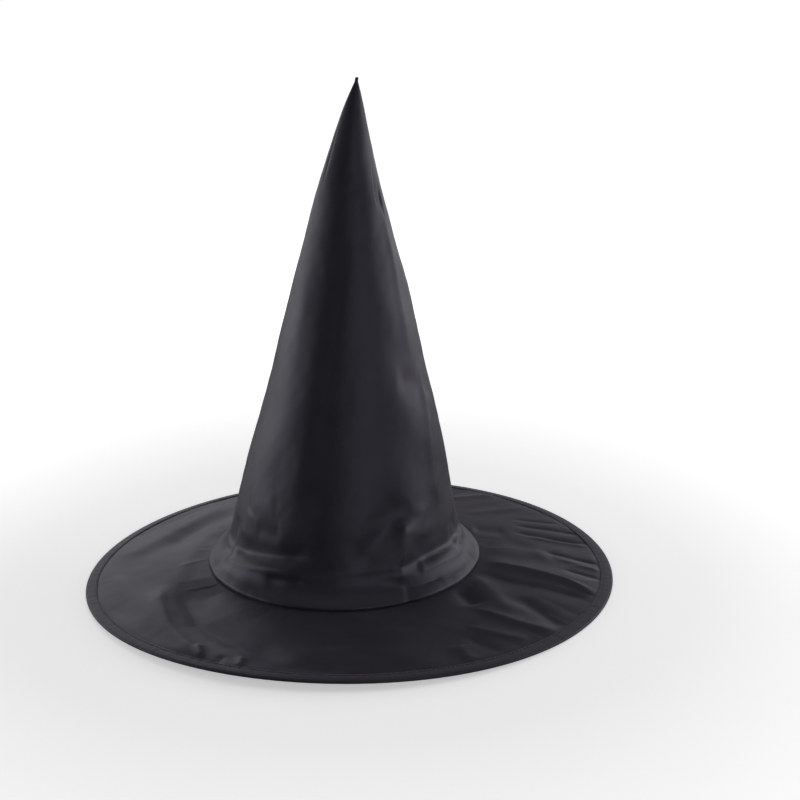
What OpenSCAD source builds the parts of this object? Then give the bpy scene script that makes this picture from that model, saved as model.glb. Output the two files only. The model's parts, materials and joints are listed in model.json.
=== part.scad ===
// Pointed cloth costume hat with a sprung, wired brim.
// Millimetres, +Z up. The brim's edge stands on z = 0 and the wearer's back is towards +Y.
// Heights called h are measured from the seam that joins the crown to the brim.

/* [Brim] */
// Outer diameter of the brim
brim_d = 380; // [340:5:440]
// Height of the crown seam above the surface that the brim's edge stands on
seam_z = 15.5; // [8:0.5:18]
// Width of the folded tape that is sewn round the edge
edge_tape_w = 8.5; // [7:0.5:12]
// Diameter of the spring wire inside the edge tape
hoop_wire_d = 1.6; // [1.2:0.1:1.6]

/* [Crown] */
// Height of the crown from its seam to the point
crown_h = 340; // [300:5:380]
// Diameter of the soft roll where the crown meets the brim
roll_d = 196; // [192:1:206]
// Diameter of the cone just above that roll
neck_d = 169; // [165:1:173]
// How far the point leans to the wearer's left
peak_lean = 15; // [0:1:20]
// Height at which the stiffened cone ends and the soft peak begins
bend_h = 256; // [245:1:265]

/* [Opening] */
// Diameter of the head opening
opening_d = 180; // [176:1:184]

/* [Materials] */
// Thickness of the crown and brim cloth
cloth_t = 0.6; // [0.4:0.1:0.6]
// Thickness of the stiff interlining
interlining_t = 0.8; // [0.5:0.1:0.8]
// Thickness of the sewing thread
thread_d = 0.5; // [0.3:0.1:0.5]

/* [Care label] */
// Width of the blank care label
label_w = 22; // [15:1:26]
// Length of the care label below its stitching
label_len = 30; // [20:1:36]

/* [Hidden] */

cloth_colour = [0.16, 0.16, 0.18];
lining_colour = [0.30, 0.30, 0.32];
thread_colour = [0.09, 0.09, 0.10];
wire_colour = [0.72, 0.73, 0.75];
label_colour = [0.93, 0.93, 0.91];

gap = 0.05;              // air between layers that lie on each other
round_fn = 160;          // facets on a ring of wire, tape or thread
soft_fn = 60;            // sides of the crown's soft shells
back = 90;               // angle of the back seam, seen from above

// Brim: the layers lie on a shallow cone between the seam and the edge
edge_r = brim_d / 2;
brim_stack_t = 2 * cloth_t + interlining_t + 2 * gap;
rim_half_t = brim_stack_t / 2 + gap + cloth_t;       // half the thickness of the taped edge
hoop_r = edge_r - rim_half_t;
roll_r = roll_d / 2;
brim_inner_r = opening_d / 2 + 1;
brim_mid_z = seam_z - cloth_t / 2 - gap - brim_stack_t / 2;
brim_fall = (brim_mid_z - rim_half_t) / (hoop_r - roll_r);
edge_stitch_r = edge_r - edge_tape_w + 1.2;
edge_flat_w = 2.5;                                   // width of the flat that the edge stands on
joiner_len = 16;
joiner_t = 0.18;
hoop_end_gap = 1;
layers_r = hoop_r - hoop_wire_d / 2 - joiner_t - 2 * gap;   // outer edge of the brim's layers

// Crown: a cone on a soft roll, both drawn as one line that is then given a thickness
roll_bend_r = 4;
neck_bend_r = 6;
neck_r = neck_d / 2;
neck_h = 2 * roll_bend_r + neck_bend_r;
cone_power = 0.9;                                    // below 1 the cone swells slightly
lean_at_bend = peak_lean / 2;
peak_curl = peak_lean - lean_at_bend * crown_h / bend_h;
point_r = 1.2;
cone_rows = 14;
peak_rows = 8;
bend_play = 0.3;

// Seam allowance, label and their places inside the crown
interlining_low_h = 18;
interlining_top_h = bend_h - 6;
inside_t = cloth_t / 2 + gap + interlining_t;        // from the cloth's middle to the inner face
allowance_w = 16;
allowance_t = 2 * cloth_t;
label_t = 0.4;
label_h = 90;
bartack_h = crown_h - 12;
bartack_len = 6;

// ---- curves ------------------------------------------------------------

// Middle of the brim at radius r
function brim_z(r) = r < roll_r ? brim_mid_z : rim_half_t + (hoop_r - r) * brim_fall;

// Height of the edge tape's underside at radius r, between its inner edge and its flat
function tape_under_z(r) = let (in_r = edge_r - edge_tape_w, flat_r = hoop_r - edge_flat_w)
    (brim_z(in_r) - rim_half_t) * (flat_r - r) / (flat_r - in_r);

// Radius of the crown cloth's middle at height h above the seam
function cone_r(h) = neck_r * pow(1 - (h - neck_h) / (crown_h - neck_h), cone_power);

// Sideways place of the crown's centre at height h
function lean(h) = lean_at_bend * h / bend_h
    + (h > bend_h ? peak_curl * pow((h - bend_h) / (crown_h - bend_h), 2) : 0);

function arc(c, r, from, to, steps) =
    [for (i = [0:steps]) let (a = from + (to - from) * i / steps) c + r * [cos(a), sin(a)]];

function reversed(list) = [for (i = [len(list) - 1:-1:0]) list[i]];

// The crown from the bend down to its turned-in edge, moved outwards by off
function crown_line(off) = concat(
    [for (i = [0:cone_rows]) let (h = bend_h - bend_play + (neck_h - bend_h + bend_play) * i / cone_rows)
        [cone_r(h) + off, h]],
    arc([neck_r + neck_bend_r, neck_h], neck_bend_r - off, 200, 270, 5),
    arc([roll_r - roll_bend_r, roll_bend_r], roll_bend_r + off, 90, -90, 10),
    [[brim_inner_r, -off]]
);

// A level ring of n points, leaning with the crown
function ring(r, h, n = soft_fn) =
    [for (i = [0:n - 1]) [lean(h) + r * cos(360 * i / n), r * sin(360 * i / n), seam_z + h]];

// A rectangle w wide and t thick, on the inner face of the crown's back at height h
function back_section(w, t, h, inset) = let (y = cone_r(h) - inset - w * w / 8 / cone_r(h))
    [for (p = [[-w / 2, 0], [-w / 2, -t], [w / 2, -t], [w / 2, 0]])
        [lean(h) + p[0], y + p[1], seam_z + h]];

// ---- building blocks ---------------------------------------------------

// A solid through a list of rings, either closed on itself or capped at both ends
module loft(rings, closed = false) {
    n = len(rings[0]);
    m = len(rings);
    points = [for (r = rings) for (p = r) p];
    sides = [for (j = [0:m - (closed ? 1 : 2)]) for (i = [0:n - 1])
        let (a = j * n + i, b = j * n + (i + 1) % n, up = ((j + 1) % m) * n - j * n)
        each [[a, b, b + up], [a, b + up, a + up]]];
    caps = closed ? [] : [
        for (i = [1:n - 2]) each [[0, i + 1, i], [(m - 1) * n, (m - 1) * n + i, (m - 1) * n + i + 1]]
    ];
    polyhedron(points, concat(sides, caps));
}

// One layer of the brim between radii r0 and r1, from low to high above the brim's middle
module brim_layer(r0, r1, low, high) {
    rotate_extrude($fn = round_fn)
        polygon([for (p = [[r0, low], [roll_r, low], [r1, low], [r1, high], [roll_r, high], [r0, high]])
            [p[0], brim_z(p[0]) + p[1]]]);
}

// A ring of sewing thread
module thread_ring(r, z) {
    rotate_extrude($fn = round_fn)
        translate([r, z])
            circle(d = thread_d, $fn = 16);
}

// A row of thread on each face of a layered edge
module two_thread_rings(r, top_z, bottom_z) {
    thread_ring(r, top_z + thread_d / 2 + gap);
    thread_ring(r, bottom_z - thread_d / 2 - gap);
}

// ---- brim --------------------------------------------------------------

module brim_top_cloth() {
    color(cloth_colour)
        brim_layer(brim_inner_r, layers_r, interlining_t / 2 + gap, brim_stack_t / 2);
}

module brim_interlining() {
    color(lining_colour)
        brim_layer(brim_inner_r, layers_r, -interlining_t / 2, interlining_t / 2);
}

module brim_under_cloth() {
    color(cloth_colour)
        brim_layer(brim_inner_r, layers_r, -brim_stack_t / 2, -interlining_t / 2 - gap);
}

// Bias tape folded over the edge, with a round channel for the hoop
module brim_edge_tape() {
    in_r = edge_r - edge_tape_w;
    centre = [hoop_r, rim_half_t];
    channel = brim_stack_t / 2 + gap;
    color(cloth_colour)
        rotate_extrude($fn = round_fn)
            polygon(concat(
                [[in_r, brim_z(in_r) - rim_half_t], [hoop_r - edge_flat_w, 0]],
                arc(centre, rim_half_t, -90, 90, 10),
                [[in_r, brim_z(in_r) + rim_half_t], [in_r, brim_z(in_r) + channel]],
                arc(centre, channel, 90, -90, 8),
                [[in_r, brim_z(in_r) - channel]]
            ));
}

module brim_edge_stitching() {
    color(thread_colour)
        two_thread_rings(edge_stitch_r, brim_z(edge_stitch_r) + rim_half_t,
            tape_under_z(edge_stitch_r + thread_d / 2));
}

// Spring wire that stops short of a full turn inside its joiner
module brim_hoop() {
    gap_angle = hoop_end_gap / hoop_r * 180 / PI;
    color(wire_colour)
        rotate([0, 0, back + gap_angle / 2])
            rotate_extrude(angle = 360 - gap_angle, $fn = round_fn)
                translate([hoop_r, rim_half_t])
                    circle(d = hoop_wire_d, $fn = 24);
}

// Crimped tube over the two ends of the wire
module hoop_joiner() {
    angle = joiner_len / hoop_r * 180 / PI;
    color(wire_colour)
        rotate([0, 0, back - angle / 2])
            rotate_extrude(angle = angle, $fn = round_fn)
                translate([hoop_r, rim_half_t])
                    difference() {
                        circle(d = hoop_wire_d + 2 * joiner_t, $fn = 24);
                        circle(d = hoop_wire_d + 0.02, $fn = 24);
                    }
}

// ---- crown -------------------------------------------------------------

module crown_cloth() {
    section = concat(crown_line(cloth_t / 2), reversed(crown_line(-cloth_t / 2)));
    color(cloth_colour)
        loft([for (p = reversed(section)) ring(p[0], p[1])], closed = true);
}

// The soft top of the crown's cloth. Its lower edge tucks just inside the cone's rim.
module crown_peak_cloth() {
    tuck_r = cone_r(bend_h) - cloth_t - bend_play;
    heights = [for (i = [1:peak_rows]) bend_h + (crown_h - bend_h) * i / peak_rows];
    outer = concat(
        [ring(tuck_r + cloth_t / 2, bend_h)],
        [for (h = heights) ring(max(min(cone_r(h), tuck_r) + cloth_t / 2, point_r), h)]
    );
    inner = concat(
        [ring(tuck_r - cloth_t / 2, bend_h)],
        [for (h = heights) if (cone_r(h) > 2 * cloth_t) ring(min(cone_r(h), tuck_r) - cloth_t / 2, h)]
    );
    color(cloth_colour)
        loft(concat(reversed(inner), outer));
}

module crown_interlining() {
    rows = cone_rows - 2;
    heights = [for (i = [0:rows])
        interlining_low_h + (interlining_top_h - interlining_low_h) * i / rows];
    outer = [for (h = heights) ring(cone_r(h) - cloth_t / 2 - gap, h)];
    inner = [for (h = heights) ring(cone_r(h) - inside_t, h)];
    color(lining_colour)
        loft(concat(outer, reversed(inner)), closed = true);
}

// Both turned-in edges of the crown's cloth, pressed open along the back seam
module back_seam_allowance() {
    rows = 8;
    color(cloth_colour)
        loft([for (i = [0:rows])
            let (h = interlining_low_h + 4 + (interlining_top_h - interlining_low_h - 8) * i / rows)
            back_section(min(allowance_w, cone_r(h) * 0.6), allowance_t, h, inside_t + 3 * gap)]);
}

module back_seam_stitching() {
    rows = 8;
    color(thread_colour)
        loft([for (i = [0:rows])
            let (
                h = interlining_low_h + 6 + (interlining_top_h - interlining_low_h - 12) * i / rows,
                w = min(allowance_w, cone_r(h) * 0.6),
                bow = w * w / 8 / cone_r(h)
            )
            back_section(thread_d, thread_d, h, inside_t + allowance_t + bow + 6 * gap)]);
}

// The seam itself: one thread on the crown's turned-in edge, one under the brim
module base_seam_stitching() {
    color(thread_colour)
        two_thread_rings(roll_r - roll_bend_r, seam_z + cloth_t / 2,
            brim_mid_z - brim_stack_t / 2);
}

// Bias tape folded over the raw edges in the head opening
module opening_tape() {
    in_r = opening_d / 2;
    out_r = roll_r - roll_bend_r - 0.8;
    top = seam_z + cloth_t / 2 + gap;
    bottom = brim_mid_z - brim_stack_t / 2 - gap;
    color(cloth_colour)
        difference() {
            translate([0, 0, bottom - cloth_t])
                cylinder(r = out_r, h = top - bottom + 2 * cloth_t, $fn = round_fn);
            translate([0, 0, bottom - cloth_t - 1])
                cylinder(r = in_r, h = top - bottom + 2 * cloth_t + 2, $fn = round_fn);
            translate([0, 0, bottom])
                difference() {
                    cylinder(r = out_r + 1, h = top - bottom, $fn = round_fn);
                    translate([0, 0, -1])
                        cylinder(r = in_r + cloth_t, h = top - bottom + 2, $fn = round_fn);
                }
        }
}

module opening_tape_stitching() {
    color(thread_colour)
        two_thread_rings(opening_d / 2 + 2, seam_z + 1.5 * cloth_t + gap,
            brim_mid_z - brim_stack_t / 2 - gap - cloth_t);
}

// Bar of close stitches that locks the back seam just under the point
module peak_bartack() {
    tilt = atan((cone_r(bartack_h - bartack_len) - cone_r(bartack_h)) / bartack_len);
    color(thread_colour)
        translate([lean(bartack_h), cone_r(bartack_h) + cloth_t + thread_d, seam_z + bartack_h])
            rotate([tilt, 0, 0]) {
                translate([0, 0, -bartack_len])
                    cylinder(r = thread_d, h = bartack_len, $fn = 24);
                sphere(r = thread_d, $fn = 24);
                translate([0, 0, -bartack_len])
                    sphere(r = thread_d, $fn = 24);
            }
}

// ---- care label --------------------------------------------------------

label_y = cone_r(label_h) - inside_t - allowance_t - allowance_w * allowance_w / 8 / cone_r(label_h)
    - 12 * gap;

// A blank satin tab that hangs from its sewn top edge, clear of the crown's wall
module care_label() {
    color(label_colour)
        translate([lean(label_h) - label_w / 2, label_y - label_t - 0.8, seam_z + label_h - label_len])
            cube([label_w, label_t, label_len]);
}

module label_stitching() {
    color(thread_colour)
        translate([lean(label_h) - label_w / 2, label_y - 0.7, seam_z + label_h + 0.6])
            rotate([0, 90, 0])
                cylinder(d = thread_d, h = label_w, $fn = 16);
}

// ---- assembly ----------------------------------------------------------

brim_top_cloth();
brim_interlining();
brim_under_cloth();
brim_edge_tape();
brim_edge_stitching();
brim_hoop();
hoop_joiner();
crown_cloth();
crown_peak_cloth();
crown_interlining();
back_seam_allowance();
back_seam_stitching();
base_seam_stitching();
opening_tape();
opening_tape_stitching();
peak_bartack();
care_label();
label_stitching();
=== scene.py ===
"""The looks of a pointed cloth costume hat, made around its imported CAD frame.

The frame is in metres, +Z up, with the brim's edge on z = 0 and the wearer's back towards +Y.
Shapes are worked out in millimetres, and put_mesh() turns them into metres. An angle a is counted
from the front of the hat, in radians: it is positive on the right of the front view.
"""

import json
import math

import bpy
import numpy as np
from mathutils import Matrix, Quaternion, Vector

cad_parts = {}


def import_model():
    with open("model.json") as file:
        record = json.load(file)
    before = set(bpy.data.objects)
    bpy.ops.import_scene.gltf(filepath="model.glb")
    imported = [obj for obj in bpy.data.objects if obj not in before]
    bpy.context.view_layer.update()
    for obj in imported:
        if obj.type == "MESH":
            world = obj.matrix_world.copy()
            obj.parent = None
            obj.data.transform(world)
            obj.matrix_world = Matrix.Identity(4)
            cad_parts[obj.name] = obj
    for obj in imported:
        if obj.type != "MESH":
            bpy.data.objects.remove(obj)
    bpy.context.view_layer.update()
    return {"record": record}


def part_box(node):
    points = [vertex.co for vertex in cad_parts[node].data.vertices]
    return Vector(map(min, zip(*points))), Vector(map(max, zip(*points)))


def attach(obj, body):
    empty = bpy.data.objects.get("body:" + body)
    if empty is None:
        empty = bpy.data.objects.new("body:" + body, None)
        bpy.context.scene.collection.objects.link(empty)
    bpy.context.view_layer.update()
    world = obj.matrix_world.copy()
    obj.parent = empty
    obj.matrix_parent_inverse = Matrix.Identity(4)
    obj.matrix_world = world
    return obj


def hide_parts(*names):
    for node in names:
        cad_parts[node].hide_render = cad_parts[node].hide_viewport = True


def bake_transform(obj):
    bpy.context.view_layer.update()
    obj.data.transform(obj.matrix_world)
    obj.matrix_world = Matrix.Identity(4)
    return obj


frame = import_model()

MM = 0.001
TURN = 2 * math.pi
RECORD = frame["record"]


def box_mm(node):
    """Lowest and highest corner of a CAD node, in millimetres."""
    low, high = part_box(node)
    return np.array(low) / MM, np.array(high) / MM


# ---- sizes taken from the frame ----------------------------------------

EDGE_R = box_mm("brim_edge_tape")[1][0]
WIRE_LOW, WIRE_HIGH = box_mm("brim_hoop")
WIRE_R = (WIRE_HIGH[2] - WIRE_LOW[2]) / 2
RIM_HALF = (WIRE_HIGH[2] + WIRE_LOW[2]) / 2
HOOP_R = EDGE_R - RIM_HALF
CLOTH_T = 0.6            # as in the CAD source
LINING_T = 0.8           # as in the CAD source
SEAM_Z = box_mm("crown_cloth")[0][2] + CLOTH_T / 2
ROLL_R = box_mm("crown_cloth")[1][0] - CLOTH_T / 2
CROWN_H = box_mm("crown_peak_cloth")[1][2] - SEAM_Z
OPENING_R = next(m["dims"]["r_mm"] for m in RECORD["mounts"] if m["name"] == "head_opening")
BRIM_MID_Z = box_mm("brim_interlining")[1][2] - LINING_T / 2
SPLIT_H = box_mm("crown_cloth")[1][2] - SEAM_Z + 0.3
LINING_LOW_H, LINING_TOP_H = (corner[2] - SEAM_Z for corner in box_mm("crown_interlining"))
LABEL_LOW, LABEL_HIGH = box_mm("care_label")
BARTACK_LOW, BARTACK_HIGH = box_mm("peak_bartack")

# ---- sizes of the shape ------------------------------------------------

# They are the CAD source's, apart from TAPE_T and EDGE_HALF: the taped edge that shows is
# thinner than the CAD's, whose tape is CLOTH_T thick.

ROLL_BEND_R = 4.0        # radius of the CAD crown's rolled foot
NECK_R = 84.5            # the cone's radius at its foot, NECK_H above the seam
NECK_H = 14.0
CONE_POWER = 0.9         # 1 is a straight cone, less than 1 bulges
TAPE_W = 8.5             # width of each face of the edge tape
TAPE_T = 0.35
EDGE_HALF = 1.3          # half the thickness of the taped edge
STACK_HALF = 1.05        # half the thickness of the brim's three layers
POINT_R = 1.2
LEAN_AT_BEND = 7.5       # how far the cone leans at the bend
PEAK_CURL = 5.04         # what the curl above the bend adds to the point's lean

# ---- how the cloth has settled -----------------------------------------

SEAM_SHIFT = -3.0       # the crown's foot has slid this far to the front view's left
SEAM_TILT = 3.3         # and its back stands this much higher than its middle
BACK = math.pi          # the angle of the back seam


def smooth(x, low, high):
    """0 below low, 1 above high, and a soft step between them."""
    t = np.clip((x - low) / (high - low), 0, 1)
    return t * t * (3 - 2 * t)


def polar(r, a):
    """Points at distance r and angle a from the front, as x and y."""
    return np.stack([r * np.sin(a), -r * np.cos(a)], -1)


def hoop_wave(a):
    """The spring hoop's slight warp, in height."""
    return (1.8 * np.cos(2 * a) - 1.4 * np.sin(2 * a) - 0.5 * np.sin(3 * a) + 0.3 * np.cos(3 * a))


HOOP_LIFT = -hoop_wave(np.linspace(0, TURN, 721)).min()


def hoop_z(a):
    return EDGE_HALF + HOOP_LIFT + hoop_wave(a)


def ripple(points, wavelength, seed, count=20):
    """A smooth random undulation of one wavelength, mostly between -1 and 1."""
    draw = np.random.default_rng(seed)
    way = draw.normal(size=(count, points.shape[-1]))
    way *= TURN / wavelength * draw.uniform(0.75, 1.3, (count, 1)) / np.linalg.norm(way, axis=1)[:, None]
    phase = draw.uniform(0, TURN, count)
    total = np.zeros(points.shape[:-1])
    for k in range(count):
        total += np.cos(points @ way[k] + phase[k])
    return total / math.sqrt(count)


def tape_pucker(a, seed):
    """Small uneven puckers that stitching pulls in cloth, at angle a."""
    draw = np.random.default_rng(seed)
    total = np.zeros_like(a)
    for k in range(14):
        total += np.cos(draw.integers(60, 190) * a + draw.uniform(0, TURN))
    return total / math.sqrt(14)


def fold(at, path, height, near, far, crisp=1.6):
    """The height that one fold adds at points: a ridge, or a valley if height is negative.

    near is its width on the left of its path and far its width on the right, looking along it.
    crisp is 2 for a round fold and 1 for a sharp crease. The fold fades out at both ends."""
    best = np.full(at.shape[:-1], 1e9)
    side = np.zeros(at.shape[:-1])
    place = np.zeros(at.shape[:-1])
    steps = np.linalg.norm(np.diff(path, axis=0), axis=1)
    whole = steps.sum()
    done = 0.0
    for start, end, step in zip(path[:-1], path[1:], steps):
        way = (end - start) / step
        off = at - start
        along = off @ way
        kept = np.clip(along, 0, step)
        across = off[..., 0] * way[1] - off[..., 1] * way[0]
        gap = np.linalg.norm(off - kept[..., None] * way, axis=-1)
        nearer = gap < best
        best = np.where(nearer, gap, best)
        side = np.where(nearer, across, side)
        place = np.where(nearer, (done + kept) / whole, place)
        done += step
    width = near + (far - near) * smooth(side / np.maximum(best, 0.8), -1, 1)
    fade = smooth(place, -0.04, 0.22) * (1 - smooth(place, 0.78, 1.04))
    return height * fade * np.exp(-((best / width) ** crisp))


# ---- brim --------------------------------------------------------------

# Each fold is (path of (degrees from the front, radius), height, width left, width right, crispness)
BRIM_FOLDS = [
    ([(76, 100), (76, 130), (74, 160), (69.5, 184)], 2.6, 15, 5.0, 1.3),
    ([(68, 101), (66, 122), (67, 158), (67, 182)], -1.2, 5, 10, 1.7),
    ([(63, 99), (55, 122), (47, 147)], 1.6, 8, 9, 1.9),
    ([(50, 100), (44, 124)], -2.2, 7, 7, 1.8),
    ([(42, 126), (45, 158), (48, 184)], 1.6, 7, 4, 1.4),
    ([(33, 142), (37, 160), (41, 178)], 1.1, 6, 4, 1.4),
    ([(58, 138), (53, 165), (50, 182)], -1.4, 7, 7, 1.8),
    ([(26, 158), (25, 182)], 1.0, 6, 5, 1.8),
    ([(30, 150), (32, 180)], -0.9, 5, 5, 1.8),
    ([(119, 148), (112, 178)], -0.8, 3, 3, 1.5),
    ([(114, 140), (105, 186)], -1.0, 3, 4, 1.5),
    ([(108, 132), (99, 180)], -1.1, 4, 3, 1.5),
    ([(103, 140), (97, 184)], 0.7, 4, 3, 1.5),
    ([(92, 146), (86, 184)], -1.0, 3, 3, 1.4),
    ([(88, 150), (82, 184)], 0.6, 3, 3, 1.5),
    ([(80, 156), (78, 184)], -0.8, 2.5, 2.5, 1.4),
    ([(92, 103), (88, 130), (90, 150)], 1.2, 12, 10, 2.0),
    ([(112, 104), (108, 128)], -1.2, 9, 9, 2.0),
    ([(146, 140), (138, 184)], 0.9, 5, 5, 1.6),
    ([(150, 130), (146, 180)], -0.9, 5, 5, 1.6),
    ([(129, 120), (126, 182)], 0.8, 7, 5, 1.7),
    ([(-98, 176), (-104, 160), (-120, 150), (-145, 160)], 1.8, 12, 11, 1.9),
    ([(-100, 138), (-118, 130), (-142, 132)], -1.2, 10, 10, 1.9),
    ([(-112, 178), (-128, 170), (-142, 176)], -0.8, 6, 6, 1.8),
    ([(-128, 118), (-104, 113), (-84, 118), (-68, 126)], 1.0, 9, 12, 1.9),
    ([(-72, 120), (-66, 125), (-44, 142), (-29, 153), (-12, 166)], -3.4, 28, 8, 1.6),
    ([(-74, 136), (-63, 146), (-49, 160), (-36, 174), (-31, 182)], 2.2, 6, 9, 1.6),
    ([(-24, 160), (-14, 172), (0, 180)], -1.2, 8, 8, 1.8),
    ([(-88, 170), (-72, 158), (-58, 160), (-50, 170)], 0.9, 6, 8, 1.6),
    ([(-36, 166), (-31.5, 181)], 1.5, 2.6, 2.6, 1.4),
    ([(-24, 168), (-22.5, 181)], 1.1, 2.4, 2.4, 1.4),
    ([(-28, 172), (-27, 182)], -0.9, 2.5, 2.5, 1.4),
    ([(-5, 104), (-3, 150)], -0.7, 16, 16, 2.0),
    ([(12, 120), (10, 176)], 0.6, 14, 14, 2.0),
]


def polar_path(path):
    """A path of (degrees from the front, radius) as x and y."""
    return np.array([polar(r, math.radians(d)) for d, r in path])


def rim_puckers(xy):
    """Short radial tension wrinkles that run inwards from the edge tape, all round."""
    draw = np.random.default_rng(11)
    total = np.zeros(xy.shape[:-1])
    angle = -180.0
    while angle < 180:
        long = draw.uniform(12, 40)
        lean = draw.uniform(-5, 5)
        height = draw.uniform(0.15, 0.42) * draw.choice([-1, 1])
        width = draw.uniform(1.6, 3.2)
        height *= 0.8 if 10 < angle < 170 else 0.2
        path = polar_path([(angle, EDGE_R - 6), (angle + lean, EDGE_R - 6 - long)])
        total += fold(xy, path, height, width, width, 1.5)
        angle += draw.uniform(3, 8)
    return total


def seam_puckers(xy):
    """Short wrinkles that run outwards from the crown's seam."""
    draw = np.random.default_rng(12)
    total = np.zeros(xy.shape[:-1])
    angle = -180.0
    while angle < 180:
        long = draw.uniform(8, 30)
        height = draw.uniform(0.05, 0.25) * draw.choice([-1, 1])
        width = draw.uniform(2, 5)
        path = polar_path([(angle, ROLL_R - 3), (angle + draw.uniform(-6, 6), ROLL_R - 3 + long)])
        total += fold(xy, path, height, width, width, 1.6)
        angle += draw.uniform(4, 9)
    return total


def brim_folds(xy):
    total = rim_puckers(xy) + seam_puckers(xy)
    for path, height, near, far, crisp in BRIM_FOLDS:
        total += fold(xy, polar_path(path), height, near, far, crisp)
    return total + 0.30 * ripple(xy, 60, 21) + 0.05 * ripple(xy, 20, 22)


def brim_middle(r, a, folds):
    """Where the middle of the brim lies at radius r and angle a. folds are the wrinkles' heights."""
    t = (HOOP_R - r) / (HOOP_R - ROLL_R)
    inside = np.clip(t, 0, 1)
    held = smooth(t, 0.02, 0.13) * (1 - smooth(t, 0.93, 1.0))
    x = r * np.sin(a) + SEAM_SHIFT * inside
    y = -r * np.cos(a)
    seam = BRIM_MID_Z - SEAM_TILT * np.cos(a)
    z = hoop_z(a) * (1 - inside) + seam * inside + folds * held
    return np.stack([x, y, z], -1)


# ---- crown -------------------------------------------------------------

# Paths are (degrees from the front, distance up the cloth from the foot's outermost line)
CROWN_FOLDS = [
    ([(-71, 14), (-74, 25), (-72, 45)], -1.9, 8, 6, 1.8),
    ([(-62, 33), (-58, 55)], 0.6, 8, 8, 2.0),
    ([(-74, 14), (-54, 18), (-38, 23), (-16, 27)], 2.9, 4.6, 15, 1.6),
    ([(-68, 25), (-44, 30), (-16, 35)], -2.6, 9, 4.2, 1.6),
    ([(-52, 44), (-34, 45)], -0.7, 8, 6, 1.9),
    ([(-38, 14), (-29, 18), (-18, 19)], -1.2, 5, 6, 1.8),
    ([(-60, 55), (-40, 65)], 0.7, 12, 12, 2.0),
    ([(30, 56), (28.5, 41), (26, 26), (24, 12)], 4.4, 11, 7, 1.25),
    ([(33, 69), (18, 47), (4, 25)], -2.4, 9, 11, 1.9),
    ([(22, 22), (38, 21)], -1.5, 6, 5, 1.7),
    ([(27, 18), (50, 19), (74, 15)], 2.6, 4.6, 14, 1.6),
    ([(34, 27), (56, 27), (80, 26)], -2.0, 9, 4.4, 1.6),
    ([(68, 16), (72, 42)], -1.2, 7, 6, 1.8),
    ([(29, 14), (26.5, 4), (26, -3)], -0.9, 3.5, 3.5, 1.6),
    ([(30, 10), (46, 9)], -0.8, 1.5, 2.2, 1.4),
    ([(40, 38), (43, 62)], 0.5, 8, 8, 1.9),
    ([(36, 149), (58, 141), (78, 133)], -1.3, 9, 9, 1.9),
    ([(66, 153), (57, 103), (56, 69), (60, 53)], 2.0, 13, 7, 1.5),
    ([(60, 263), (56, 203), (54, 153)], 0.9, 10, 8, 1.7),
    ([(48, 279), (66, 269)], -1.3, 9, 8, 1.8),
    ([(-14, 229), (-19, 147), (-20, 78), (-17, 33)], -0.9, 11, 11, 2.0),
    ([(-50, 233), (-45, 123), (-52, 73)], 0.8, 20, 18, 2.0),
    ([(-70, 323), (-58, 283)], -0.5, 8, 8, 1.9),
]
CHART_R = 85.0


def wall_radius(h):
    """Radius of the cone at height h above the seam."""
    left = np.clip(1 - (h - NECK_H) / (CROWN_H - NECK_H), 0, None)
    return np.maximum(NECK_R * left**CONE_POWER, POINT_R)


def axis_x(h):
    """Sideways place of the crown's middle line at height h."""
    curl = PEAK_CURL * (np.clip(h - SPLIT_H, 0, None) / (CROWN_H - SPLIT_H)) ** 2
    return LEAN_AT_BEND * h / SPLIT_H + curl + SEAM_SHIFT * (1 - smooth(h, 10, 130))


def settle_z(h, a):
    """How much higher the foot's tilt puts the cloth at height h and angle a."""
    return -SEAM_TILT * np.cos(a) * (1 - smooth(h, 6, 60))


def soft_curve(corners, spacing):
    """A smooth curve through points, with its own points about spacing apart."""
    ends = [2 * corners[0] - corners[1], *corners, 2 * corners[-1] - corners[-2]]
    out = []
    for p0, p1, p2, p3 in zip(ends, ends[1:], ends[2:], ends[3:]):
        count = max(round(np.linalg.norm(p2 - p1) / spacing), 1)
        for t in np.linspace(0, 1, count, endpoint=False):
            out.append(0.5 * (2 * p1 + (p2 - p0) * t + (2 * p0 - 5 * p1 + 4 * p2 - p3) * t**2
                              + (3 * p1 - p0 - 3 * p2 + p3) * t**3))
    return np.array(out + [corners[-1]])


def crown_line():
    """The crown's outline from its turned-in edge to the point: radius, height, distance, normal."""
    foot = [(OPENING_R + 1, 0), (ROLL_R - 3, 0), (ROLL_R - 0.7, 0.1), (ROLL_R, 0.9), (ROLL_R - 0.5, 1.9),
            (ROLL_R - 3, 3.9), (ROLL_R - 6.5, 6.3), (ROLL_R - 9.6, 9.2), (ROLL_R - 11.9, 12.9),
            (ROLL_R - 13.3, 17.2)]
    foot += [(wall_radius(h), h) for h in (21.0, 27.0)]
    foot = soft_curve(np.array(foot, float), 0.85)
    heights = np.concatenate([np.arange(28, 70, 1.3), np.arange(70, CROWN_H - 12, 2.4),
                              np.arange(CROWN_H - 12, CROWN_H - 0.5, 0.9)])
    point = [(0.9 * POINT_R, CROWN_H - 0.3), (0.5 * POINT_R, CROWN_H), (0.04, CROWN_H + 0.1)]
    outline = np.concatenate([foot, np.stack([wall_radius(heights), heights], -1), point])
    r, h = outline.T
    tangent = np.stack([np.gradient(r), np.gradient(h)], -1)
    tangent /= np.linalg.norm(tangent, axis=1)[:, None]
    normal = np.stack([tangent[:, 1], -tangent[:, 0]], -1)
    steps = np.concatenate([[0], np.cumsum(np.hypot(np.diff(r), np.diff(h)))])
    widest = int(np.argmax(r))
    return r, h, steps - steps[widest], normal


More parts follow.
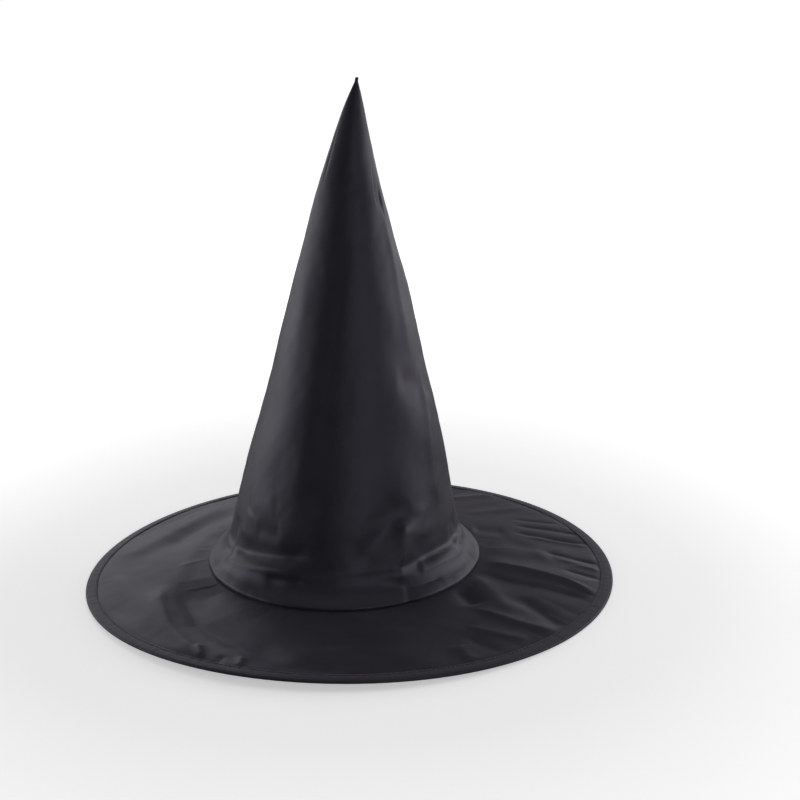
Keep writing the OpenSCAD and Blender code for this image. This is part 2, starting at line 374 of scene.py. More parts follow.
def base_creases(at):
    """Soft creases round the crown's foot, at the sides and back."""
    draw = np.random.default_rng(31)
    total = np.zeros(at.shape[:-1])
    angle = 84.0
    while angle < 276:
        low = draw.uniform(11, 22)
        turn = draw.uniform(-14, 14)
        height = draw.uniform(0.6, 1.7) * draw.choice([-1, -1, 1])
        width = draw.uniform(4, 8)
        degrees = angle - 360 if angle > 180 else angle
        path = [(degrees, low), (degrees + 0.6 * turn, low + 12)]
        path.append((degrees + turn, low + draw.uniform(20, 60)))
        total += fold(at, chart_path(path), height, width, width * 1.5, 1.8)
        angle += draw.uniform(12, 26)
    return total


def chart_path(path):
    """A path of (degrees, distance up the cloth) in the crown's flat chart."""
    return np.array([(CHART_R * math.radians(d), s) for d, s in path])


def crown_folds(a, s, points):
    """How far the crown's folds move it outwards at angle a and distance s up the cloth."""
    at = np.stack([CHART_R * a, s], -1)
    total = base_creases(at)
    for path, height, near, far, crisp in CROWN_FOLDS:
        total += fold(at, chart_path(path), height, near, far, crisp)
    total += 0.55 * ripple(points, 90, 41) * smooth(s, 20, 60)
    total += 0.22 * ripple(points, 32, 42) + 0.06 * ripple(points, 11, 43)
    total += 0.10 * tape_pucker(a, 44) * np.exp(-((s + 3) / 4) ** 2)
    from_back = (np.pi - np.abs(a)) * np.maximum(wall_radius(np.maximum(s - 5, 0)), 2)
    total -= 0.75 * np.exp(-((from_back / 1.1) ** 2)) * smooth(s, -6, 4)
    total += 0.35 * np.exp(-(((from_back - 4.5) / 3) ** 2)) * smooth(s, 8, 20)
    total += 0.12 * np.cos(s / 1.9 + 2 * np.sin(s / 23)) * np.exp(-(from_back / 5) ** 2)
    return total * smooth(s, -9, -3)


def crown_surface(line, a, inset=0.0):
    """Points of the crown's cloth, rows up the outline by columns round the hat."""
    r, h, s, normal = line
    rows, turn = np.meshgrid(np.arange(len(r)), a, indexing="ij")
    flat = np.concatenate([polar(r[rows], turn), h[rows][..., None]], -1)
    out = crown_folds(turn, s[rows], flat) * np.minimum(r[rows] / 16, 1) - inset
    radius = r[rows] + normal[rows, 0] * out
    height = h[rows] + normal[rows, 1] * out
    points = np.concatenate([polar(radius, turn), (SEAM_Z + height)[..., None]], -1)
    points[..., 0] += axis_x(h[rows])
    points[..., 2] += settle_z(h[rows], turn)
    return points


# ---- meshes ------------------------------------------------------------


def put_mesh(name, points, faces, uv=None, smooth_shading=True):
    """A mesh object from points in millimetres. uv has one pair for each corner of each face."""
    mesh = bpy.data.meshes.new(name)
    mesh.from_pydata((np.asarray(points) * MM).tolist(), [], [list(face) for face in faces])
    if uv is not None:
        layer = mesh.uv_layers.new(name="cloth")
        layer.data.foreach_set("uv", (np.asarray(uv) * MM).astype(np.float32).ravel())
    mesh.polygons.foreach_set("use_smooth", [smooth_shading] * len(mesh.polygons))
    mesh.validate()
    mesh.update()
    piece = bpy.data.objects.new(name, mesh)
    bpy.context.scene.collection.objects.link(piece)
    return piece


def grid_faces(rows, columns, round_columns=False, round_rows=False):
    """Quads of a grid of points, and each corner's (row, column) without wrapping round."""
    i, j = np.meshgrid(np.arange(rows - (not round_rows)), np.arange(columns - (not round_columns)),
                       indexing="ij")
    corner = np.stack([np.stack([i + di, j + dj], -1) for di, dj in ((0, 0), (0, 1), (1, 1), (1, 0))], -2)
    corner = corner.reshape(-1, 4, 2)
    faces = (corner[..., 0] % rows) * columns + corner[..., 1] % columns
    return faces, corner


def put_grid(name, points, cloth_uv=None, round_columns=False, round_rows=False, flip=False):
    """A grid of points as a mesh. cloth_uv(row, column) gives the place in the flat cloth."""
    rows, columns = points.shape[:2]
    faces, corner = grid_faces(rows, columns, round_columns, round_rows)
    if flip:
        faces, corner = faces[:, ::-1], corner[:, ::-1]
    uv = None if cloth_uv is None else cloth_uv(corner[..., 0], corner[..., 1])
    return put_mesh(name, points.reshape(-1, 3), faces, uv)


def thicken(piece, thickness, offset=-1.0):
    """Gives a sheet its thickness, with a closed rim."""
    modifier = piece.modifiers.new("thickness", "SOLIDIFY")
    modifier.thickness = thickness * MM
    modifier.offset = offset
    modifier.use_even_offset = False
    return piece


def angles(count, start=-math.pi):
    """Angles round the whole hat, starting at the back seam."""
    return start + TURN * np.arange(count) / count


def put_stitches(name, points, way, ups, length, wide=0.3, high=0.22, sides=6, rings=5):
    """Separate stitches, each centred on a point, lying along its way and bulging towards its up."""
    way = way / np.linalg.norm(way, axis=1)[:, None]
    across = np.cross(way, ups)
    across /= np.linalg.norm(across, axis=1)[:, None]
    up = np.cross(across, way)
    t = np.linspace(-1, 1, rings)
    swell = np.sqrt(np.clip(1.02 - t**4, 0, 1))
    around = np.linspace(0, TURN, sides, endpoint=False)
    ring, turn = np.meshgrid(np.arange(rings), around, indexing="ij")
    local = np.stack([t[ring] * length / 2, wide * swell[ring] * np.cos(turn),
                      high * swell[ring] * np.sin(turn) - 0.8 * high * np.abs(t[ring]) ** 3], -1)
    local = local.reshape(-1, 3)
    placed = (points[:, None] + local[None, :, :1] * way[:, None] + local[None, :, 1:2] * across[:, None]
              + local[None, :, 2:] * up[:, None])
    faces, _ = grid_faces(rings, sides, round_columns=True)
    one = faces.tolist() + [list(range(sides))[::-1], [(rings - 1) * sides + k for k in range(sides)]]
    size = rings * sides
    every = [[v + size * k for v in face] for k in range(len(points)) for face in one]
    return put_mesh(name, placed.reshape(-1, 3), every)


def ways(points):
    """The direction of a row of points at each point."""
    return np.gradient(points, axis=0)


def along(points, spacing, start=0.0):
    """Points at equal distances along a line of points."""
    steps = np.concatenate([[0], np.cumsum(np.linalg.norm(np.diff(points, axis=0), axis=1))])
    count = int((steps[-1] - 2 * start) / spacing)
    at = start + spacing * np.arange(count + 1)
    return np.stack([np.interp(at, steps, points[:, k]) for k in range(3)], -1)


# ---- materials ---------------------------------------------------------


def new_material(name):
    material = bpy.data.materials.new(name)
    material.use_nodes = True
    nodes, links = material.node_tree.nodes, material.node_tree.links
    return material, nodes, links, nodes["Principled BSDF"]


def node(nodes, kind, **values):
    made = nodes.new(kind)
    for key, value in values.items():
        if key in made.inputs:
            made.inputs[key].default_value = value
        else:
            setattr(made, key, value)
    return made


def weave_height(nodes, links, pitch_mm, twill=False):
    """A woven height from the cloth's own flat coordinates: over and under, thread by thread."""
    place = node(nodes, "ShaderNodeUVMap", uv_map="cloth")
    waves = []
    for direction in ("X", "Y"):
        wave = node(nodes, "ShaderNodeTexWave", wave_type="BANDS", bands_direction=direction,
                    wave_profile="SIN")
        wave.inputs["Scale"].default_value = TURN / (20 * pitch_mm * MM)
        wave.inputs["Distortion"].default_value = 0.6
        wave.inputs["Detail"].default_value = 1.0
        wave.inputs["Detail Scale"].default_value = 0.25
        links.new(place.outputs["UV"], wave.inputs["Vector"])
        waves.append(wave.outputs["Fac"])
    mixed = node(nodes, "ShaderNodeMath", operation="MULTIPLY" if not twill else "ADD")
    links.new(waves[0], mixed.inputs[0])
    links.new(waves[1], mixed.inputs[1])
    return mixed.outputs[0]


def noise(nodes, links, scale, detail=3.0, kind="Object"):
    """Noise in the piece's own space. Its outputs are Fac and Color."""
    place = node(nodes, "ShaderNodeTexCoord")
    made = node(nodes, "ShaderNodeTexNoise", Scale=scale, Detail=detail)
    links.new(place.outputs[kind], made.inputs["Vector"])
    return made


def colour_between(nodes, links, factor, dark, light, low=0.35, high=0.65):
    ramp = node(nodes, "ShaderNodeValToRGB")
    ramp.color_ramp.elements[0].position = low
    ramp.color_ramp.elements[1].position = high
    ramp.color_ramp.elements[0].color = (*dark, 1)
    ramp.color_ramp.elements[1].color = (*light, 1)
    links.new(factor, ramp.inputs["Fac"])
    return ramp.outputs["Color"]


def number_between(nodes, links, factor, low, high):
    made = node(nodes, "ShaderNodeMapRange")
    made.inputs["To Min"].default_value = low
    made.inputs["To Max"].default_value = high
    links.new(factor, made.inputs["Value"])
    return made.outputs["Result"]


def bump(nodes, links, height, distance_mm, strength=1.0, under=None):
    made = node(nodes, "ShaderNodeBump", Strength=strength, Distance=distance_mm * MM)
    links.new(height, made.inputs["Height"])
    if under is not None:
        links.new(under, made.inputs["Normal"])
    return made.outputs["Normal"]


def woven_cloth(name, dark, light, pitch_mm=0.55, rough=(0.42, 0.52), sheen=0.12, depth=0.05):
    """Smooth synthetic cloth: a fine plain weave, slubby threads, soft blotches and a low sheen."""
    material, nodes, links, shader = new_material(name)
    blotch = noise(nodes, links, 38.0, 4.0)
    slub = noise(nodes, links, 900.0, 2.0)
    links.new(colour_between(nodes, links, blotch.outputs["Fac"], dark, light), shader.inputs["Base Color"])
    links.new(number_between(nodes, links, blotch.outputs["Fac"], *rough), shader.inputs["Roughness"])
    weave = weave_height(nodes, links, pitch_mm)
    fine = bump(nodes, links, slub.outputs["Fac"], 0.03, 0.35)
    links.new(bump(nodes, links, weave, depth, 0.6, fine), shader.inputs["Normal"])
    shader.inputs["Specular IOR Level"].default_value = 0.5
    shader.inputs["Specular Tint"].default_value = (0.84, 0.80, 1.0, 1.0)
    shader.inputs["Sheen Weight"].default_value = sheen
    shader.inputs["Sheen Roughness"].default_value = 0.38
    shader.inputs["Sheen Tint"].default_value = (0.84, 0.79, 1.0, 1.0)
    return material


def felted(name, dark, light):
    """Non-woven stiffener: short pressed fibres, quite matt."""
    material, nodes, links, shader = new_material(name)
    fibre = noise(nodes, links, 1600.0, 5.0)
    cloud = noise(nodes, links, 120.0, 5.0)
    links.new(colour_between(nodes, links, cloud.outputs["Fac"], dark, light), shader.inputs["Base Color"])
    links.new(bump(nodes, links, fibre.outputs["Fac"], 0.12, 0.7), shader.inputs["Normal"])
    shader.inputs["Roughness"].default_value = 0.92
    shader.inputs["Sheen Weight"].default_value = 0.2
    return material


def thread(name, dark, light):
    material, nodes, links, shader = new_material(name)
    ply = noise(nodes, links, 2600.0, 3.0)
    links.new(colour_between(nodes, links, ply.outputs["Fac"], dark, light), shader.inputs["Base Color"])
    links.new(bump(nodes, links, ply.outputs["Fac"], 0.05, 0.8), shader.inputs["Normal"])
    shader.inputs["Roughness"].default_value = 0.42
    shader.inputs["Sheen Weight"].default_value = 0.2
    return material


def steel(name):
    material, nodes, links, shader = new_material(name)
    drawn = noise(nodes, links, 500.0, 6.0)
    links.new(number_between(nodes, links, drawn.outputs["Fac"], 0.22, 0.42), shader.inputs["Roughness"])
    links.new(colour_between(nodes, links, drawn.outputs["Fac"], (0.44, 0.45, 0.47), (0.62, 0.63, 0.65)),
              shader.inputs["Base Color"])
    shader.inputs["Metallic"].default_value = 1.0
    return material


CLOTH = woven_cloth("black_oxford", (0.0125, 0.0118, 0.0160), (0.0165, 0.0155, 0.0205))
TAPE = woven_cloth("black_bias_tape", (0.0145, 0.0138, 0.0180), (0.0185, 0.0175, 0.0230),
                   0.5, (0.5, 0.62), 0.25)
LINING = felted("black_interlining", (0.030, 0.030, 0.032), (0.050, 0.050, 0.053))
THREAD = thread("black_thread", (0.012, 0.012, 0.014), (0.024, 0.024, 0.028))
STEEL = steel("spring_wire")
SATIN = woven_cloth("white_satin", (0.78, 0.78, 0.76), (0.86, 0.86, 0.84), 0.35, (0.3, 0.42), 0.1, 0.03)


def finish_piece(piece, material, body="hat", replaces=()):
    piece.data.materials.append(material)
    if body:
        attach(piece, body)
    for name in replaces:
        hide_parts(name)
    return piece


# ---- the brim's pieces -------------------------------------------------

BRIM_TURNS = 720


def brim_radii(low, high, spacing=1.6):
    return np.linspace(low, high, int((high - low) / spacing) + 1)


def flat_ring_uv(radii, a_start, count):
    def place(row, column):
        return polar(radii[row], a_start + TURN * column / count)
    return place


def brim_sheet(name, low, high, offset, thickness, material, node_name):
    """One of the brim's layers, with its outer face at offset from the brim's middle."""
    radii = brim_radii(low, high)
    a = angles(BRIM_TURNS)
    r, turn = np.meshgrid(radii, a, indexing="ij")
    folds = brim_folds(polar(r, turn))
    points = brim_middle(r, turn, folds)
    squeeze = 0.3 * smooth(r, EDGE_R - TAPE_W - 3, EDGE_R - TAPE_W + 1)
    points[..., 2] += offset - np.sign(offset) * squeeze if offset else 0
    piece = put_grid(name, points, flat_ring_uv(radii, a[0], BRIM_TURNS), round_columns=True,
                     flip=offset > 0)
    thicken(piece, thickness, -1.0 if offset else 0.0)
    finish_piece(piece, material, replaces=[node_name])
    return piece


BRIM_LOW_R = OPENING_R + 1
BRIM_HIGH_R = box_mm("brim_interlining")[1][0]
brim_top = brim_sheet("brim_top", BRIM_LOW_R, BRIM_HIGH_R, STACK_HALF, CLOTH_T, CLOTH,
                      "brim_top_cloth")
brim_under = brim_sheet("brim_under", BRIM_LOW_R, BRIM_HIGH_R, -STACK_HALF, CLOTH_T, CLOTH,
                        "brim_under_cloth")
brim_stiffener = brim_sheet("brim_stiffener", BRIM_LOW_R, BRIM_HIGH_R - 1, 0.0, 0.5, LINING,
                            "brim_interlining")


def edge_tape():
    """Tape folded over the edge: a tube round the wire and a flat lip on each side of the brim."""
    a = angles(1080)
    in_r = EDGE_R - TAPE_W
    lip_r = in_r + np.array([0, 0.05, 0.5, 1.2, 2.2, 3.4, 4.8, 6.0])
    lip_z = np.array([0.90, 1.22, 1.30, 1.06, 1.26, 1.34, 1.36, 1.36])
    tube = np.radians(np.linspace(78, -78, 15))
    tube_r = HOOP_R + (EDGE_R - HOOP_R) * np.cos(tube)
    tube_z = EDGE_HALF * np.sin(tube)
    r = np.concatenate([lip_r, tube_r, lip_r[::-1]])
    z = np.concatenate([lip_z, tube_z, -lip_z[::-1]])
    pull = np.concatenate([np.linspace(1.0, 0.35, 8), np.full(15, 0.15), np.linspace(0.35, 1.0, 8)])
    top = z > 0
    rows, turn = np.meshgrid(np.arange(len(r)), a, indexing="ij")
    points = brim_middle(r[rows], turn, np.zeros(rows.shape))
    pucker = np.where(top[rows], tape_pucker(turn, 51), tape_pucker(turn, 52))
    points[..., 2] += z[rows] + np.sign(z[rows]) * 0.09 * pull[rows] * pucker
    wobble = 0.10 * tape_pucker(turn, 53) * (pull[rows] - 0.3)
    points[..., :2] *= (1 + wobble / r[rows])[..., None]
    length = np.concatenate([[0], np.cumsum(np.hypot(np.diff(r), np.diff(z)))])

    def bias(row, column):
        u, v = EDGE_R * TURN * column / len(a), length[row]
        return np.stack([(u + v) / math.sqrt(2), (u - v) / math.sqrt(2)], -1)

    piece = put_grid("edge_tape", points, bias, round_columns=True, flip=True)
    thicken(piece, TAPE_T)
    finish_piece(piece, TAPE, replaces=["brim_edge_tape"])
    return piece


edge_tape()


def ring_line(r, count, lift):
    """Points round the brim at radius r, lift above its middle."""
    a = angles(count)
    points = brim_middle(np.full(count, r), a, np.zeros(count))
    points[:, 2] += lift
    return points


def joined(name, parts):
    """Several stitch rows as one piece."""
    for part in parts:
        part.select_set(True)
    bpy.context.view_layer.objects.active = parts[0]
    with bpy.context.temp_override(active_object=parts[0], selected_editable_objects=parts):
        bpy.ops.object.join()
    parts[0].name = name
    return parts[0]


def ring_stitches(name, r, lift, down, length, count=None):
    count = count or int(TURN * r / (length * 1.22))
    points = ring_line(r, count, lift)
    way = np.roll(points, -1, axis=0) - np.roll(points, 1, axis=0)
    ups = np.tile([0.0, 0.0, -1.0 if down else 1.0], (count, 1))
    return put_stitches(name, points, way, ups, length)


STITCH_R = EDGE_R - TAPE_W + 1.2
edge_rows = [ring_stitches("edge_top", STITCH_R, 1.06 + 0.24, False, 2.6),
             ring_stitches("edge_under", STITCH_R, -1.06 - 0.24, True, 2.6)]
finish_piece(joined("edge_stitches", edge_rows), THREAD, replaces=["brim_edge_stitching"])


def wire_ring(name, tube_r, start, end, rows, material, node_name, tube_sides=16):
    """Round wire that follows the warped hoop between two angles."""
    a = np.linspace(start, end, rows)
    around = np.linspace(0, TURN, tube_sides, endpoint=False)
    turn, ring = np.meshgrid(a, around, indexing="ij")
    r = HOOP_R + tube_r * np.cos(ring)
    points = np.concatenate([polar(r, turn), (hoop_z(turn) + tube_r * np.sin(ring))[..., None]], -1)
    piece = put_grid(name, points, round_columns=True)
    cap = piece.modifiers.new("ends", "SOLIDIFY")
    cap.thickness = min(tube_r, 0.18) * MM
    finish_piece(piece, material, replaces=[node_name])
    return piece


WIRE_GAP = 0.5 / HOOP_R
JOINER_HALF = 8 / HOOP_R
wire_ring("brim_hoop_wire", WIRE_R, -BACK + WIRE_GAP, BACK - WIRE_GAP, 721,
          STEEL, "brim_hoop")
wire_ring("brim_hoop_joiner", WIRE_R + 0.18, BACK - JOINER_HALF, BACK + JOINER_HALF, 12,
          STEEL, "hoop_joiner")

# ---- the crown's pieces ------------------------------------------------

CROWN_TURNS = 480
line = crown_line()
LINE_R, LINE_H, LINE_S = line[:3]
WIDEST = int(np.argmax(LINE_R))      # the row of the crown's foot that reaches furthest out
SLANT = math.hypot(NECK_R, CROWN_H - NECK_H)
CONE_TURN = NECK_R / SLANT


def cone_uv(distance):
    """Flat coordinates of the cone's cloth: a sector about the point."""
    reach = distance[-1] - distance

    def place(row, column):
        turn = (-math.pi + TURN * column / CROWN_TURNS) * CONE_TURN
        far = np.maximum(reach[row], 0.5)
        return np.stack([far * np.sin(turn), -far * np.cos(turn)], -1)
    return place


crown_points = crown_surface(line, angles(CROWN_TURNS))
crown = put_grid("crown_cone_cloth", crown_points, cone_uv(LINE_S), round_columns=True)
thicken(crown, CLOTH_T)
crown.data.materials.append(CLOTH)
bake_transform(crown)
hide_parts("crown_cloth", "crown_peak_cloth")


def part_line(low, high, spacing):
    """A stretch of the crown's outline between two heights, as crown_line() gives it."""
    heights = np.linspace(low, high, int((high - low) / spacing) + 1)
    r = wall_radius(heights)
    tangent = np.stack([np.gradient(r), np.gradient(heights)], -1)
    tangent /= np.linalg.norm(tangent, axis=1)[:, None]
    normal = np.stack([tangent[:, 1], -tangent[:, 0]], -1)
    return r, heights, np.interp(heights, LINE_H[WIDEST:], LINE_S[WIDEST:]), normal


LINING_GAP = 0.12


def crown_stiffener():
    low_line = part_line(LINING_LOW_H, LINING_TOP_H, 1.6)
    points = crown_surface(low_line, angles(CROWN_TURNS), CLOTH_T + LINING_GAP)
    distance = low_line[2]
    reach = LINE_S[-1] - distance

    def place(row, column):
        turn = (-math.pi + TURN * column / CROWN_TURNS) * CONE_TURN
        return np.stack([reach[row] * np.sin(turn), -reach[row] * np.cos(turn)], -1)

    piece = put_grid("crown_stiffener", points, place, round_columns=True)
    thicken(piece, LINING_T)
    finish_piece(piece, LINING, replaces=["crown_interlining"])


crown_stiffener()

INSIDE = CLOTH_T + LINING_GAP + LINING_T
ALLOWANCE_W = 16.0


def back_strip(low, high, half_width, inset, columns, rows, curl=0.0):
    """A strip up the inside of the back seam. curl lifts its two long edges."""
    strip = part_line(low, high, (high - low) / rows)
    across = np.linspace(-1, 1, columns)
    width = np.minimum(half_width, wall_radius(strip[1]) * 0.3)
    points = []
    for k, (r, h) in enumerate(zip(strip[0], strip[1])):
        turn = math.pi + across * width[k] / r
        row = tuple(x[k:k + 1] for x in strip)
        wrapped = np.where(turn > math.pi, turn - TURN, turn)
        lift = inset + curl * across**4 * (1 + 0.6 * math.sin(h / 9.0) + 0.4 * math.sin(h / 3.7))
        points.append(crown_surface(row, wrapped, lift)[0])
    return np.array(points)


def back_allowance():
    low, high = LINING_LOW_H + 4, LINING_TOP_H - 4
    points = back_strip(low, high, ALLOWANCE_W / 2, INSIDE + 0.1, 13, 90, 0.5)

    def place(row, column):
        return np.stack([column * ALLOWANCE_W / 12, row * (high - low) / 90], -1)

    piece = put_grid("back_seam_flaps", points, place, flip=True)
    thicken(piece, 2 * CLOTH_T)
    finish_piece(piece, CLOTH, replaces=["back_seam_allowance"])


back_allowance()


def inward_ups(points):
    """Directions from points towards the crown's axis."""
    ups = -points.copy()
    ups[:, 2] = 0
    ups[:, 0] += LEAN_AT_BEND / 2
    return ups / np.linalg.norm(ups, axis=1)[:, None]


def zigzag(first, second):
    """Corners that cross from one line of points to another and back."""
    count = min(len(first), len(second))
    corners = np.empty((2 * count, 3))
    corners[0::2], corners[1::2] = first[:count], second[:count]
    return corners


def back_stitches():
    """The seam's own row, and a zigzag that binds each raw edge."""
    low, high = LINING_LOW_H + 6, LINING_TOP_H - 6
    middle = along(back_strip(low, high, 1.0, INSIDE + 2 * CLOTH_T + 0.2, 3, 120)[:, 1], 3.1, 2)
    rows = [put_stitches("back_row", middle, ways(middle), inward_ups(middle), 2.6)]
    edges = back_strip(low, high, ALLOWANCE_W / 2, INSIDE + 2 * CLOTH_T + 0.1, 13, 120, 0.5)
    for first, second in ((0, 2), (12, 10)):
        corners = zigzag(along(edges[:, first], 2.2, 2), along(edges[:, second], 2.2, 2))
        places, way = (corners[1:] + corners[:-1]) / 2, np.diff(corners, axis=0)
        long = float(np.linalg.norm(way, axis=1).mean())
        rows.append(put_stitches("zigzag", places, way, inward_ups(places), long, 0.26))
    stitches = joined("back_seam_stitches", rows)
    finish_piece(stitches, THREAD, replaces=["back_seam_stitching"])


back_stitches()

# ---- the head opening --------------------------------------------------


def opening_tape():
    """Tape folded over the raw edges in the head opening."""
    a = angles(CROWN_TURNS)
    out_r = ROLL_R - ROLL_BEND_R - 0.8
    top = CLOTH_T + 0.35 + STACK_HALF + 0.3
    under = -STACK_HALF - 0.35
    r = np.concatenate([[out_r, out_r - 1, OPENING_R + 2, OPENING_R + 1.0],
                        [OPENING_R + 0.3, OPENING_R + 0.05, OPENING_R + 0.05, OPENING_R + 0.3],
                        [OPENING_R + 1.0, OPENING_R + 2, out_r - 1, out_r]])
    z = np.array([top - 0.15, top, top - 0.12, top, top - 0.15, top - 0.8, under + 0.8, under + 0.15,
                  under, under + 0.12, under, under + 0.15])
    rows, turn = np.meshgrid(np.arange(len(r)), a, indexing="ij")
    points = brim_middle(r[rows], turn, np.zeros(rows.shape))
    points[..., 2] += z[rows] + 0.06 * tape_pucker(turn, 61) * np.sign(z[rows])
    length = np.concatenate([[0], np.cumsum(np.hypot(np.diff(r), np.diff(z)))])

    def bias(row, column):
        u, v = OPENING_R * TURN * column / len(a), length[row]
        return np.stack([(u + v) / math.sqrt(2), (u - v) / math.sqrt(2)], -1)

    piece = put_grid("opening_binding", points, bias, round_columns=True)
    thicken(piece, 0.35)
    finish_piece(piece, TAPE, replaces=["opening_tape"])
    rows = [ring_stitches("opening_top", OPENING_R + 2, top + 0.02, False, 2.6),
            ring_stitches("opening_under", OPENING_R + 2, under - 0.02, True, 2.6)]
    stitches = joined("opening_stitches", rows)
    finish_piece(stitches, THREAD, replaces=["opening_tape_stitching"])


opening_tape()

seam_r = ROLL_R - ROLL_BEND_R
seam_rows = [ring_stitches("seam_top", seam_r + 0.6, STACK_HALF + CLOTH_T + 0.05 + 0.1, False, 2.8),
             ring_stitches("seam_under", seam_r + 0.6, -STACK_HALF - 0.1, True, 2.8)]
finish_piece(joined("seam_stitches", seam_rows), THREAD, replaces=["base_seam_stitching"])

# ---- small pieces ------------------------------------------------------


def bartack():
    """Close satin stitches across the back seam under the point."""
    centre = (BARTACK_LOW + BARTACK_HIGH) / 2
    low_h, high_h = BARTACK_LOW[2] - SEAM_Z, BARTACK_HIGH[2] - SEAM_Z
    column = part_line(low_h, high_h, 0.5)
    points = np.array([crown_surface(tuple(x[k:k + 1] for x in column), np.array([math.pi]), -0.25)[0, 0]
                       for k in range(len(column[0]))])
    way = np.tile([1.0, 0.0, 0.12], (len(points), 1))
    ups = points - np.array([centre[0], 0, 0])
    ups[:, 2] = 0
    piece = put_stitches("point_bartack", points, way, ups, 2.2, 0.24)
    finish_piece(piece, THREAD, "peak", ["peak_bartack"])


bartack()


def care_label():
    """A blank folded satin tab with a soft fold at its foot and a slight curl."""
    wide = LABEL_HIGH[0] - LABEL_LOW[0]
    long = LABEL_HIGH[2] - LABEL_LOW[2]
    middle_x = (LABEL_HIGH[0] + LABEL_LOW[0]) / 2
    middle_y = (LABEL_HIGH[1] + LABEL_LOW[1]) / 2
    gap = 0.55
    down = np.linspace(0, 1, 24)
    front = np.stack([-gap / 2 - 0.5 * np.sin(down * math.pi), -down * (long - gap)], -1)
    foot = np.array([(gap * 0.8 * math.cos(t), -long + gap + gap * math.sin(t))
                     for t in np.radians(np.linspace(200, 340, 8))])
    back = np.stack([gap / 2 - 0.1 * np.sin(down[::-1] * math.pi), -down[::-1] * (long - gap)], -1)
    side = np.concatenate([front, foot, back])
    length = np.concatenate([[0], np.cumsum(np.linalg.norm(np.diff(side, axis=0), axis=1))])
    across = np.linspace(-0.5, 0.5, 15)
    rows, columns = np.meshgrid(np.arange(len(side)), np.arange(len(across)), indexing="ij")
    y, z = side[rows, 0], side[rows, 1]
    drop = -z / long
    curl = 1.1 * drop**2 * (across[columns] * 2) ** 2 + 0.35 * drop * np.sin(across[columns] * 5 + 1)
    points = np.stack([middle_x + wide * across[columns], middle_y + y - curl, LABEL_HIGH[2] + z], -1)

    def place(row, column):
        return np.stack([column * wide / 14, length[row]], -1)

    piece = put_grid("blank_label", points, place)
    thicken(piece, 0.12, 0.0)
    finish_piece(piece, SATIN, "label", ["care_label"])
    x = np.arange(LABEL_LOW[0] + 1.2, LABEL_HIGH[0] - 0.8, 2.0)
    low, high = box_mm("label_stitching")
    y, z = (low[1] + high[1]) / 2, (low[2] + high[2]) / 2
    points = np.stack([x, np.full(len(x), y), np.full(len(x), z)], -1)
    ups = np.tile([0.0, -1.0, 0.0], (len(x), 1))
    row = put_stitches("label_stitches", points, ways(points), ups, 1.6)
    finish_piece(row, THREAD, replaces=["label_stitching"])


care_label()

# ---- floor, light and camera -------------------------------------------


FLOOR_R = 30.0
NEAR_R = 0.25
FAR_R = 0.9


def floor():
    """A plain pale floor. Its glow away from the hat stands for the lit studio around it."""
    mesh = bpy.data.meshes.new("floor")
    corners = [(FLOOR_R * math.cos(t), FLOOR_R * math.sin(t), 0) for t in np.linspace(0, TURN, 65)[:-1]]
    mesh.from_pydata(corners, [], [tuple(range(64))])
    piece = bpy.data.objects.new("floor", mesh)
    bpy.context.scene.collection.objects.link(piece)
    material, nodes, links, shader = new_material("pale_floor")
    shader.inputs["Base Color"].default_value = (0.92, 0.92, 0.92, 1)
    shader.inputs["Roughness"].default_value = 0.9
    shader.inputs["Specular IOR Level"].default_value = 0.1
    place = node(nodes, "ShaderNodeTexCoord")
    far = node(nodes, "ShaderNodeVectorMath", operation="LENGTH")
    links.new(place.outputs["Object"], far.inputs[0])
    glow = node(nodes, "ShaderNodeMapRange")
    for key, value in (("From Min", NEAR_R), ("From Max", FAR_R), ("To Min", 0.45), ("To Max", 1.0)):
        glow.inputs[key].default_value = value
    links.new(far.outputs["Value"], glow.inputs["Value"])
    shader.inputs["Emission Color"].default_value = (1, 1, 1, 1)
    links.new(glow.outputs["Result"], shader.inputs["Emission Strength"])
    piece.data.materials.append(material)
    piece.visible_diffuse = False
    piece.visible_glossy = False


def softbox(name, place, aim, wide, tall, power):
    light = bpy.data.lights.new(name, "AREA")
    light.shape = "RECTANGLE"
    light.size, light.size_y = wide, tall
    light.energy = power
    piece = bpy.data.objects.new(name, light)
    piece.location = place
    piece.rotation_mode = "QUATERNION"
    piece.rotation_quaternion = (Vector(aim) - Vector(place)).to_track_quat("-Z", "Y")
    piece.visible_camera = False
    bpy.context.scene.collection.objects.link(piece)


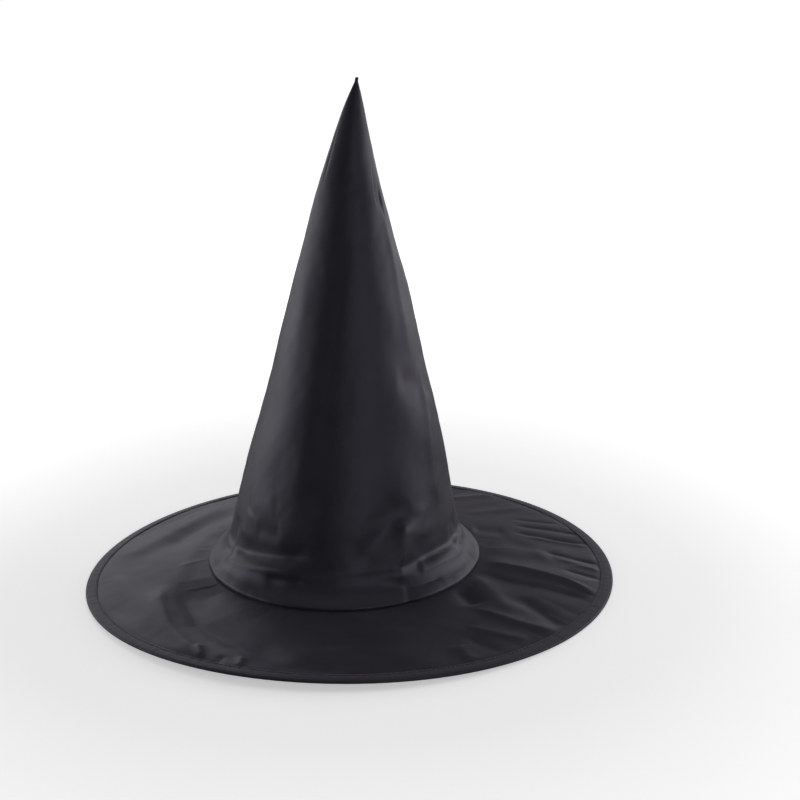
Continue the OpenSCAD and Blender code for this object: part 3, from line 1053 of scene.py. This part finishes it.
def world(strength):
    """A white surround that lights the hat only softly."""
    made = bpy.data.worlds.new("studio")
    bpy.context.scene.world = made
    made.use_nodes = True
    nodes, links = made.node_tree.nodes, made.node_tree.links
    seen = node(nodes, "ShaderNodeLightPath")
    level = node(nodes, "ShaderNodeMapRange")
    level.inputs["To Min"].default_value = strength
    level.inputs["To Max"].default_value = 1.0
    links.new(seen.outputs["Is Camera Ray"], level.inputs["Value"])
    background = nodes["Background"]
    background.inputs["Color"].default_value = (1, 1, 1, 1)
    links.new(level.outputs["Result"], background.inputs["Strength"])


CAMERA_DISTANCE = 1.050
CAMERA_ELEVATION = math.radians(14.59)
CAMERA_ROLL = math.radians(-1.66)
CAMERA_LENS = 66.98
CAMERA_SHIFT = (0.0713, -0.0394)


def camera():
    data = bpy.data.cameras.new("camera")
    data.lens = CAMERA_LENS
    data.shift_x, data.shift_y = CAMERA_SHIFT
    piece = bpy.data.objects.new("camera", data)
    bpy.context.scene.collection.objects.link(piece)
    aim = Vector((0, 0, 0.150 + (HOOP_LIFT + EDGE_HALF) * MM))
    back = Vector((0, -math.cos(CAMERA_ELEVATION), math.sin(CAMERA_ELEVATION)))
    piece.location = aim + CAMERA_DISTANCE * back
    piece.rotation_mode = "QUATERNION"
    piece.rotation_quaternion = (-back).to_track_quat("-Z", "Y") @ Quaternion((0, 0, 1), CAMERA_ROLL)
    bpy.context.scene.camera = piece


floor()
softbox("left_softbox", (-0.92, 0.20, 0.24), (0, 0, 0.12), 1.2, 0.42, 3.2)
softbox("right_softbox", (0.95, 0.10, 0.30), (0, 0, 0.12), 1.1, 0.55, 3.9)
softbox("front_fill", (0.55, -1.40, 0.40), (0, 0, 0.15), 0.9, 0.8, 3.0)
softbox("back_left_glow", (-0.62, 1.38, 0.50), (0, 0, 0.10), 1.0, 0.75, 2.4)
softbox("back_right_glow", (0.90, 1.20, 0.26), (0, 0, 0.10), 0.9, 0.45, 1.5)
softbox("top_softbox", (0.0, 0.0, 1.8), (0, 0, 0.1), 1.6, 1.6, 3.0)
world(0.12)
camera()
bpy.context.scene.view_settings.view_transform = "Standard"
